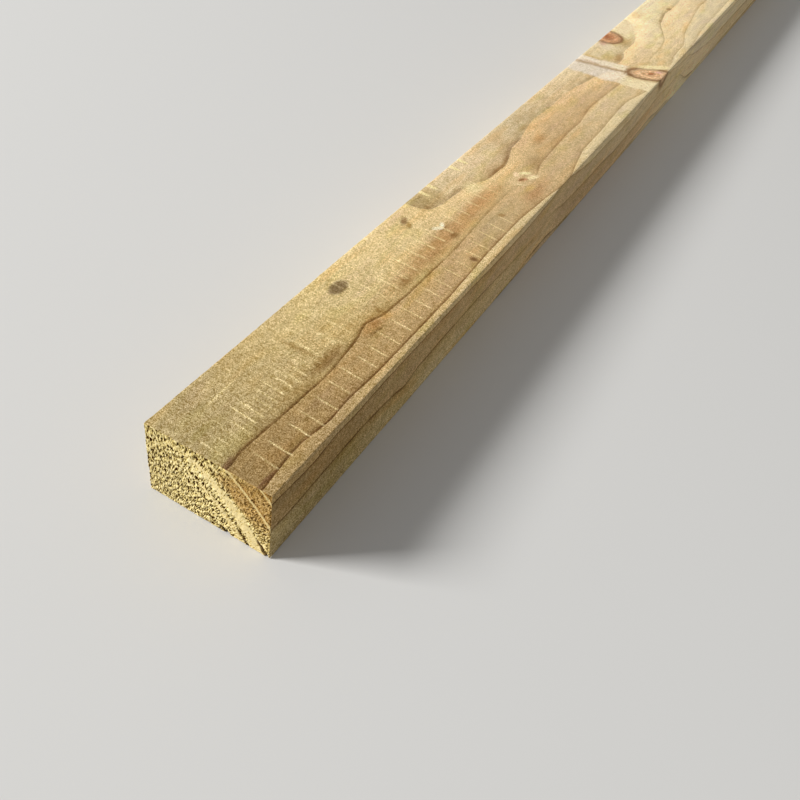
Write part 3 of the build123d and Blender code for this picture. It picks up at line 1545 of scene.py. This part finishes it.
TOP_MARKS = (
    Mark(1.0, 24.0, 3.0, 0.8, (188, 160, 164), soft=0.6, turn=-12.0),
    Mark(3.0, 33.8, 3.4, 0.5, (206, 182, 190), soft=0.6),
    Mark(73.6, 7.7, 3.9, 2.3, (150, 140, 132), 0.95, soft=0.3, ragged=0.2),
    Mark(116.6, 5.2, 2.1, 1.1, (164, 142, 122), 0.9, soft=0.6, turn=-20.0),
    Mark(115.5, 7.8, 1.6, 0.9, (190, 176, 134), 0.85, turn=-30.0),
    Mark(45.0, 22.0, 6.4, 1.7, (196, 180, 152), 0.9, ragged=0.6),
    Mark(44.5, 13.5, 1.0, 4.5, (214, 200, 172), ragged=0.4),
    Mark(89.7, 21.6, 2.8, 1.3, (196, 180, 152), soft=0.6),
    Mark(120.6, 22.0, 1.9, 1.4, (186, 176, 154), 0.9),
    Mark(113.1, 32.8, 1.0, 1.4, (150, 118, 84), soft=0.6),
    Mark(142.0, 29.0, 1.6, 0.9, (208, 186, 152), soft=0.6, turn=40.0),
    Mark(384.0, 13.4, 1.8, 1.1, (150, 118, 84), 0.6, soft=0.6, ragged=0.25),
    Mark(117.0, 20.0, 32.0, 3.2, (226, 204, 188), 0.95),
    Mark(135.8, 4.2, 4.6, 4.0, (226, 220, 196), 0.9),
    Mark(201.0, 17.5, 4.0, 1.8, (236, 216, 190), soft=0.9),
    Mark(65.2, 24.8, 4.6, 2.2, (246, 228, 208), ragged=0.9),
    Mark(66.6, 24.6, 2.2, 1.0, (232, 216, 194), 0.7, ragged=1.2),
    Mark(71.8, 25.2, 1.8, 1.6, (255, 240, 200), 0.7, soft=0.8, ragged=0.6),
    Mark(64.2, 26.6, 3.4, 0.4, (150, 118, 84), 0.4, soft=0.6, ragged=0.6, turn=8.0),
    Mark(163.0, 32.2, 6.2, 2.5, (228, 206, 188), soft=0.8, ragged=0.6),
    Mark(172.5, 31.4, 4.6, 2.3, (248, 228, 204), 0.4, soft=0.8, ragged=0.6),
    Mark(183.0, 23.0, 5.0, 2.3, (224, 218, 208), 0.9, soft=0.8),
    Mark(147.0, 19.6, 10.0, 2.6, (247, 230, 208), soft=0.8),
    Mark(129.8, 4.2, 3.6, 4.8, (216, 210, 190), soft=0.5),
    Mark(137.0, 29.5, 14.0, 4.5, (244, 250, 255), 0.9, soft=0.8, ragged=0.25),
    Mark(72.4, 21.6, 0.9, 2.6, (206, 190, 156), ragged=0.6),
    Mark(360.5, 3.5, 5.0, 2.6, (232, 222, 210), soft=0.8, ragged=0.6),
    PaleMark(165.4, 29.4, 2.4, 1.1, (218, 184, 112), 0.7, soft=0.8, ragged=1.0, turn=14.0),
    PaleMark(169.4, 24.2, 5.4, 2.9, (236, 208, 158), 0.6, soft=0.8, ragged=1.0, turn=20.0),
    PaleMark(168.8, 24.9, 2.5, 1.2, (208, 160, 112), soft=0.5, ragged=0.9, turn=20.0),
    PaleMark(170.3, 21.4, 1.9, 0.9, (255, 222, 176), 0.9, soft=0.5, turn=-15.0),
    PaleMark(173.4, 23.7, 2.2, 0.8, (255, 238, 178), 1.0, soft=0.5, turn=41.0),
    PaleMark(172.7, 27.0, 2.4, 1.0, (255, 232, 178), 1.0, soft=0.5, turn=30.0),
    PaleMark(164.8, 25.6, 2.2, 0.5, (240, 216, 166), 0.7, soft=0.5, ragged=0.4, turn=55.0),
    PaleMark(171.5, 24.7, 1.4, 0.6, (196, 166, 114), 0.7, soft=0.5, ragged=0.4, turn=30.0),
    PaleMark(169.5, 25.4, 1.3, 0.5, (196, 132, 92), 0.7, soft=0.5, ragged=0.4, turn=40.0),
    PaleMark(168.1, 24.5, 1.4, 0.5, (150, 106, 58), 0.95, soft=0.5, ragged=0.3, turn=18.0),
    PaleMark(143.5, 7.8, 5.2, 0.24, (226, 203, 153), soft=0.6, ragged=0.3, turn=-3.0),
    Mark(301.0, 14.6, 5.0, 1.7, (210, 184, 148), soft=0.8, turn=-12.0),
    Mark(297.5, 11.0, 3.4, 3.2, (232, 218, 180), 0.7, soft=0.8, ragged=0.6),
    Mark(322.0, 11.6, 6.0, 1.8, (222, 204, 168), 0.7, soft=0.9),
    PaleMark(279.8, 19.2, 7.6, 3.4, (255, 235, 203), 0.95, soft=0.3, turn=24.0),
    PaleMark(291.2, 18.6, 2.2, 3.0, (255, 238, 200), 0.95, soft=0.5, ragged=0.4, turn=15.0),
    PaleMark(339.5, 4.5, 8.5, 6.0, (255, 232, 186), 0.9, soft=0.6),
    PaleMark(309.0, 4.0, 3.4, 4.0, (246, 224, 190), soft=0.8, ragged=0.6),
    PaleMark(287.8, 2.6, 2.2, 3.6, (255, 238, 208), 0.85, soft=0.6),
    PaleMark(151.0, 13.2, 3.6, 3.0, (246, 224, 166), soft=0.8),
    Mark(292.2, 6.0, 1.4, 4.6, (228, 216, 184), ragged=0.6),
    PaleMark(299.6, 18.6, 2.6, 1.4, (236, 214, 146), 0.5, ragged=0.6),
    Mark(286.4, 6.0, 1.0, 3.4, (226, 208, 188), 0.7, ragged=0.6),
    PaleMark(304.6, 31.2, 8.8, 2.0, (255, 233, 177), 1.0, soft=0.5, ragged=0.3, turn=47.0),
    Mark(296.8, 32.2, 1.8, 1.0, (196, 150, 112), ragged=0.6, turn=20.0),
    PaleMark(300.8, 34.8, 1.8, 1.1, (240, 188, 176), 0.6, turn=40.0),
    Mark(288.2, 25.4, 2.0, 1.1, (186, 160, 120), 0.4),
    Mark(311.4, 3.0, 2.2, 1.6, (230, 204, 208)),
    *(
        PaleMark(along, 1.4, 0.8, 2.9, (254, 234, 172), 0.95, soft=0.4, ragged=0.3)
        for along in (135.6, 141.4, 158.1, 164.4)
    ),
    PaleMark(19.0, 8.1, 5.2, 0.32, (236, 212, 152), 0.75, soft=0.6, ragged=0.4, turn=-2.6),
    # Painted shadow under the raised splinter that the two pale marks below draw.
    Mark(121.6, 17.4, 2.6, 0.5, (190, 172, 142), 0.7, soft=0.6, ragged=0.3),
    PaleMark(120.3, 15.6, 1.9, 0.8, (252, 239, 202), 0.9, soft=0.5, ragged=0.25, turn=33.0),
    PaleMark(122.7, 16.1, 1.8, 0.8, (252, 239, 202), 0.9, soft=0.5, ragged=0.25, turn=-27.0),
)

SAW_ROWS = (
    SawLines(3.15, 12.4, 21.8, 2.0, 40.0, 0.8, half_width=0.25, uneven=0.4),
    SawLines(6.3, 11.0, 21.8, 34.0, 160.0, 0.8, slant=-0.03, half_width=0.36, uneven=0.3),
    SawLines(6.33, 26.2, 34.8, 4.0, 148.0, 0.8, half_width=0.25, uneven=0.2),
    SawLines(2.7, 0.5, 11.0, 30.0, 150.0, 0.3),
    SawLines(2.1, 11.0, 22.0, 4.0, 110.0, 0.3),
)


class EndGrain(WoodFinish):
    """Finish of the cut ends: spongy pale rings on the left, dense orange wood on the right."""

    cream: Colour = linear(250, 231, 167)
    resin: Colour = linear(205, 170, 110)
    hard: Colour = linear(222, 198, 134)
    after_edge: Colour = linear(206, 176, 128)
    calm: Colour = linear(244, 243, 240)
    halo: Colour = linear(250, 239, 190)
    # Painted shade at the bottom of the torn pits, in plain and in resinous wood.
    torn_shade: Colour = linear(62, 38, 0)
    torn_shade_resin: Colour = linear(78, 50, 6)
    # Painted shade in the low spots of the fine grit.
    grit: Colour = linear(150, 112, 66)
    # Painted highlight on the tufts of torn fibre.
    tuft_highlight: Colour = linear(255, 239, 190)
    # Painted shade along the cracks' lips and inside them.
    crack_edge_shade: Colour = linear(176, 140, 90)
    crack_shade: Colour = linear(52, 36, 22)

    def __init__(self, heart: Heart) -> None:
        """Starts the material, and finds the shaded point's place round the heart.

        Args:
            heart: where the rings are centred.
        """
        super().__init__("end_grain", heart.stock)
        self.heart = heart
        aside = self.total(self.across, heart.beside)
        above = self.less(heart.height(0.0), self.down)
        square = self.total(self.times(aside, aside), self.times(above, above))
        self.radius, self.angle = self.math("SQRT", square), self.math("ARCTAN2", above, aside)

    def cracks(self, checks: Sequence[RingCheck]) -> Socket:
        """Finds how far inside the near end's cracks a point is.

        Args:
            checks: the cracks.

        Returns:
            The distance in millimetres, below 0 beside a crack.
        """
        found: Number = -9.0
        for check in checks:
            ring = check.ring(self.heart)
            run = self.fit(self.less(self.angle, check.mouth(self.heart)), -ring, check.reach)
            wave = self.math("SINE", self.fit(run, check.wave_rate, check.inset))
            wander = self.times(wave, check.wave)
            off = self.math("ABSOLUTE", self.less(self.less(self.radius, ring), wander))
            share = self.math("MULTIPLY", run, 1.0 / check.reach, clamp=True)
            half = self.times(self.times(share, check.opening / 2.0), self.less(2.0, share))
            half = self.less(half, self.step(run, 0.5, -0.4))
            found = self.math("MAXIMUM", found, self.less(half, off))
        return found

    def build(self, checks: Sequence[RingCheck]) -> bpy.types.Material:
        """Makes the finish.

        Args:
            checks: the near end's cracks.

        Returns:
            The finished material.
        """
        inside = self.cracks(checks)
        turned = self.fit(self.radius, -0.2, self.times(self.angle, self.heart.middling_ring))
        round_heart = turned, self.radius, 0.0
        rays = self.noise(round_heart, (0.44, 1.3, 1.0), seed=24.0, detail=1.0, roughness=0.4)
        fine = self.noise(round_heart, (0.28, 0.72, 1.0), seed=27.0, roughness=0.7)
        grit = self.patches(0.3, 0.24, seed=21.0, roughness=0.75)
        cloud = self.patches(4.0, 4.0, seed=22.0)
        number = self.measure("ring_number")
        firm = self.times(self.measure("late_wood"), self.step(self.across, 4.0, 20.0))
        firm = self.times(firm, self.step(number, -3.2, -0.6))
        inward = self.fit(self.step(self.down, 0.5, 5.0), 5.0, self.across)
        dense = self.step(self.fit(cloud, 7.0, inward), 20.0, 33.0)
        dense = self.times(dense, self.step(number, -0.02, 0.3))
        dense = self.vary(dense, self.step(self.down, 10.0, 19.0), -0.7, 1.0)
        colour = self.blend(self.cream, self.resin, dense)
        colour = self.blend(colour, self.hard, self.times(firm, 0.85))
        colour = self.shade(colour, cloud, 0.4)
        after = self.times(self.math("FRACT", number), self.measure("ring_width"))
        after = self.times(self.step(after, 1.2, 0.1), dense, 0.5)
        colour = self.dim(colour, after, self.after_edge)
        # Painted shade in the torn pits of the end grain, deepest where the mesh's own pits are deepest.
        torn_shade = self.vary(rays, dense, -1.7, 2.9)
        torn_shade = self.fit(self.measure("torn_grain"), 0.3, torn_shade)
        torn_shade = self.fit(fine, 2.6, torn_shade)
        solid = self.fit(self.step(number, 0.3, 0.6), 0.4, 0.42)
        torn_shade = self.less(torn_shade, self.times(firm, solid))
        lower = self.step(self.across, 10.0, 16.0)
        torn_shade = self.less(torn_shade, self.times(self.window(self.radius, 45.6, 49.6, 0.9), lower, 0.2))
        torn_shade = self.total(torn_shade, self.times(self.window(self.radius, 44.1, 45.2, 0.4), lower, 0.12))
        ragged = self.times(self.window(self.down, 12.0, 20.0, 2.0), self.step(self.across, 30.0, 33.0))
        torn_shade = self.total(torn_shade, self.times(ragged, 0.07))
        calm = self.step(self.down, 5.0, 1.5)
        torn_shade = self.vary(torn_shade, calm, -0.25, 1.0)
        colour = self.dim(colour, calm, self.calm)
        colour = self.dim(colour, self.times(self.step(torn_shade, -0.22, 0.1), 0.8), self.halo)
        # The pits' painted shade, stronger at the near end.
        near = self.step(self.along, 20.0, 19.0)
        share = self.vary(self.step(torn_shade, -0.14, 0.44), near, 0.5, 0.5)
        share = self.vary(share, dense, -0.1, 1.0)
        colour = self.dim(colour, share, self.blend(self.torn_shade, self.torn_shade_resin, dense))
        # Painted light and shade of the fine grit: lighter on the fine bump's highs, darker in its lows,
        # most in the dense wood.
        colour = self.shade(colour, grit, 1.2)
        colour = self.dim(colour, self.times(self.step(grit, 0.02, -0.2), dense, 0.6), self.grit)
        # Painted highlights on the tufts of fibre between the pits.
        tuft_highlight = self.vary(self.step(torn_shade, -0.15, -0.55), dense, -0.4, 0.6)
        tuft_highlight = self.vary(tuft_highlight, self.math("MAXIMUM", firm, calm), -0.5, 1.0)
        colour = self.blend(colour, self.tuft_highlight, tuft_highlight)
        # Painted shade inside the near end's cracks and along their lips.
        beside = self.times(self.step(inside, -0.35, 0.0), near, 0.7)
        colour = self.dim(colour, beside, self.crack_edge_shade)
        colour = self.dim(colour, self.times(self.step(inside, -0.1, 0.12), near), self.crack_shade)
        height = self.fit(grit, 1.0, 0.5)
        return self.finish(colour, roughness=0.92, shine=0.03, height=height, reach=0.16)


@dataclass(frozen=True)
class StudioFloor:
    """A plain pale floor."""

    half_size: float = 6.0
    paint: Colour = linear(214, 213, 210)
    roughness: float = 0.9
    shine: float = 0.2

    def build(self) -> bpy.types.Object:
        """Makes the floor, level with the batten's underside.

        Returns:
            The floor.
        """
        mesh = bpy.data.meshes.new("studio_floor")
        signs = ((-1.0, -1.0), (1.0, -1.0), (1.0, 1.0), (-1.0, 1.0))
        corners = [(x * self.half_size, y * self.half_size, 0.0) for x, y in signs]
        mesh.from_pydata(corners, [], [(0, 1, 2, 3)])
        mesh.materials.append(Finish("pale_floor").finish(self.paint, self.roughness, self.shine))
        floor = bpy.data.objects.new("studio_floor", mesh)
        bpy.context.scene.collection.objects.link(floor)
        return floor


def direction(bearing: float, elevation: float) -> Vector:
    """Points a way of length 1.

    Args:
        bearing: its horizontal angle from the length of the batten, in degrees.
        elevation: its angle above the level, in degrees.

    Returns:
        The way.
    """
    turn, tilt = math.radians(bearing), math.radians(elevation)
    return Vector((math.cos(tilt) * math.cos(turn), math.cos(tilt) * math.sin(turn), math.sin(tilt)))


@dataclass(frozen=True)
class Softbox:
    """One large square lamp that stands off and faces a point of the batten.

    Attributes:
        bearing: horizontal angle of the lamp from the length of the batten, in degrees.
        elevation: its angle above the floor.
        distance: how far off it stands, in metres.
        size: its width, in metres.
        power: its power, in watts.
    """

    bearing: float
    elevation: float
    distance: float
    size: float
    power: float

    def build(self, aim: Vector) -> bpy.types.Object:
        """Makes the lamp.

        Args:
            aim: the point that it faces.

        Returns:
            The lamp.
        """
        towards = direction(self.bearing, self.elevation)
        lamp = bpy.data.lights.new("softbox", "AREA")
        lamp.shape = "SQUARE"
        lamp.size = self.size
        lamp.energy = self.power
        box = bpy.data.objects.new("softbox", lamp)
        box.location = aim + towards * self.distance
        box.rotation_euler = towards.to_track_quat("Z", "Y").to_euler()
        bpy.context.scene.collection.objects.link(box)
        return box


@dataclass(frozen=True)
class Viewpoint:
    """The photograph's camera, from the middle of the near end's lower edge.

    Attributes:
        ahead: its distance along the batten, in millimetres.
        aside: its distance towards the left side.
        above: its height over the floor.
        heading: the angle that it is turned from the batten's length towards the left.
        pitch: the angle that it looks down.
        roll: the angle that its top leans.
        focal_pixels: its focal length on a frame that is frame_pixels wide.
        frame_pixels: the frame's width.
        sensor: width of its sensor.
    """

    ahead: float = -100.23
    aside: float = -86.97
    above: float = 180.78
    heading: float = 22.604
    pitch: float = 44.770
    roll: float = 10.798
    focal_pixels: float = 856.7
    frame_pixels: float = 800.0
    sensor: float = 36.0

    def build(self, stock: Stock) -> bpy.types.Object:
        """Makes the camera and looks through it.

        Args:
            stock: the batten, from which the camera's place is measured.

        Returns:
            The camera.
        """
        roll = math.radians(self.roll)
        ahead = direction(self.heading, -self.pitch)
        level_right = ahead.cross(Vector((0.0, 0.0, 1.0))).normalized()
        level_up = level_right.cross(ahead)
        right = level_right * math.cos(roll) + level_up * math.sin(roll)
        up = right.cross(ahead)
        turn = Matrix((right, up, -ahead)).transposed().to_4x4()
        start = Vector((stock.low.x, (stock.low.y + stock.high.y) / 2.0, stock.low.z))
        lens = bpy.data.cameras.new("photo_view")
        lens.sensor_width = self.sensor
        lens.lens = self.focal_pixels / self.frame_pixels * self.sensor
        lens.clip_start = 0.01
        camera = bpy.data.objects.new("photo_view", lens)
        place = start + Vector((self.ahead, self.aside, self.above)) * MM
        camera.matrix_world = Matrix.Translation(place) @ turn
        bpy.context.scene.collection.objects.link(camera)
        bpy.context.scene.camera = camera
        return camera


@dataclass(frozen=True)
class Studio:
    """Floor, lamp, backdrop and camera.

    Attributes:
        stock: the batten that stands in it.
        fill: strength of the light from all sides.
        key: the lamp.
        lit: how far from the near end the lamp is aimed, in metres.
    """

    stock: Stock
    fill: float = 0.3
    key: Softbox = Softbox(bearing=124.5, elevation=30.0, distance=4.0, size=1.1, power=205.0)
    lit: float = 0.2

    def build(self) -> None:
        """Sets the stage."""
        StudioFloor().build()
        self.key.build(Vector((self.stock.low.x + self.lit, 0.0, 0.0)))
        world = bpy.data.worlds.new("studio")
        world.use_nodes = True
        background = world.node_tree.nodes["Background"]
        background.inputs["Color"].default_value = (1.0, 1.0, 1.0, 1.0)
        background.inputs["Strength"].default_value = self.fill
        bpy.context.scene.world = world
        bpy.context.scene.view_settings.view_transform = "Standard"
        Viewpoint().build(self.stock)


def main() -> None:
    """Builds the batten, dresses it and sets the stage."""
    logging.basicConfig(level=logging.INFO, format="%(name)s: %(message)s")
    stock = Stock(*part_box(NODE))
    heart = Heart(stock)
    batten = SawnBatten(stock, GrowthRings(heart, RINGS), KNOTS, CHECKS)
    piece = batten.build()
    batten.dress(SawnFace("sawn_face", stock).build(), EndGrain(heart).build(CHECKS))
    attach(piece, "root")
    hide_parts(NODE)
    triangles = sum(len(face.vertices) - 2 for face in piece.data.polygons)
    LOG.info("%s: %d triangles", piece.name, triangles)
    Studio(stock).build()
    LOG.info("studio: floor, softbox and camera")


if __name__ == "__main__":
    main()
